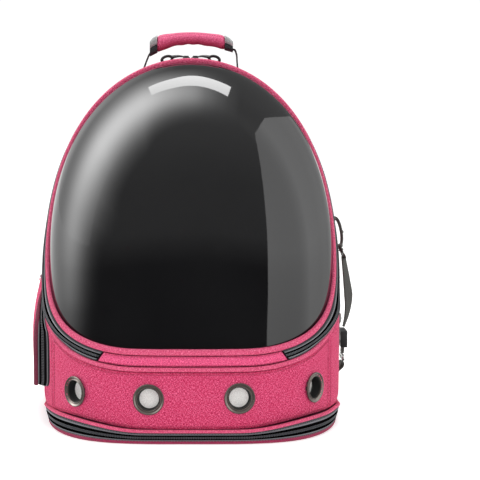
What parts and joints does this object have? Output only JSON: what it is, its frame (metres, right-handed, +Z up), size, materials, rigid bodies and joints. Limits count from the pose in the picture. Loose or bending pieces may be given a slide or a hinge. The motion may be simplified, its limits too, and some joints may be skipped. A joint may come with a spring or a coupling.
{
  "type": "pet carrier backpack",
  "caption": "Upright domed backpack for carrying a small pet: smoked clear zip-round door over a soft fabric body with vent eyelets, zip base band, carrying handle and padded shoulder straps.",
  "frame": {"origin": "on the underside of the base floor, on the centre line, in the plane of the upright sides of the dome's rim", "axes": "+Z up, -Y out of the domed front, +Y to the wearer's back, +X to the right seen from the front"},
  "size_m": [0.3728, 0.3395, 0.4251],
  "materials": {
    "pink_fabric": "heathered plain weave, matt",
    "pink_piping": "folded woven binding, matt",
    "dark_pink_fabric": "woven, matt",
    "zip_tape": "woven zip tape with a coil",
    "smoked_plastic": "smoked clear plastic, polished",
    "gunmetal": "gunmetal plate, satin",
    "pale_mesh": "open mesh",
    "dark_mesh": "open mesh",
    "grey_fabric": "ribbed woven, matt",
    "webbing": "ribbed webbing",
    "black_plastic": "moulded, matt",
    "bright_metal": "plated"
  },
  "bodies": {
    "root": {"base_floor": "dark_pink_fabric", "base_piping_lower": "dark_pink_fabric", "base_zip_band": "zip_tape", "base_piping_upper": "pink_piping", "side_band": "pink_fabric", "back_panel": "pink_fabric", "front_panel": "pink_fabric", "grommet_1": "gunmetal", "vent_mesh_1": "pale_mesh", "grommet_2": "gunmetal", "vent_mesh_2": "pale_mesh", "grommet_3": "gunmetal", "vent_mesh_3": "pale_mesh", "grommet_4": "gunmetal", "vent_mesh_4": "pale_mesh", "dome": "smoked_plastic", "dome_rim": "pink_piping", "edge_piping": "pink_piping", "dome_zip": "zip_tape", "hinge_gusset": "pink_fabric", "zip_slider_left": "gunmetal", "zip_pull_left": "gunmetal", "zip_slider_right": "gunmetal", "zip_pull_right": "gunmetal", "side_pocket_gusset": "zip_tape", "side_pocket_face": "pink_fabric", "mesh_pocket": "dark_mesh", "mesh_pocket_binding": "grey_fabric", "handle_grip": "pink_fabric", "handle_wrap_left": "grey_fabric", "handle_web_left": "webbing", "handle_wrap_right": "grey_fabric", "handle_web_right": "webbing", "shoulder_pad_left": "pink_fabric", "pad_ring_left": "gunmetal", "snap_hook_left": "gunmetal", "strap_web_left": "webbing", "ladder_lock_left": "black_plastic", "strap_tail_left": "webbing", "strap_bar_left": "bright_metal", "anchor_tab_left": "webbing", "shoulder_pad_right": "pink_fabric", "pad_ring_right": "gunmetal", "snap_hook_right": "gunmetal", "strap_web_right": "webbing", "ladder_lock_right": "black_plastic", "strap_tail_right": "webbing", "strap_bar_right": "bright_metal", "anchor_tab_right": "webbing"}
  },
  "joints": []
}
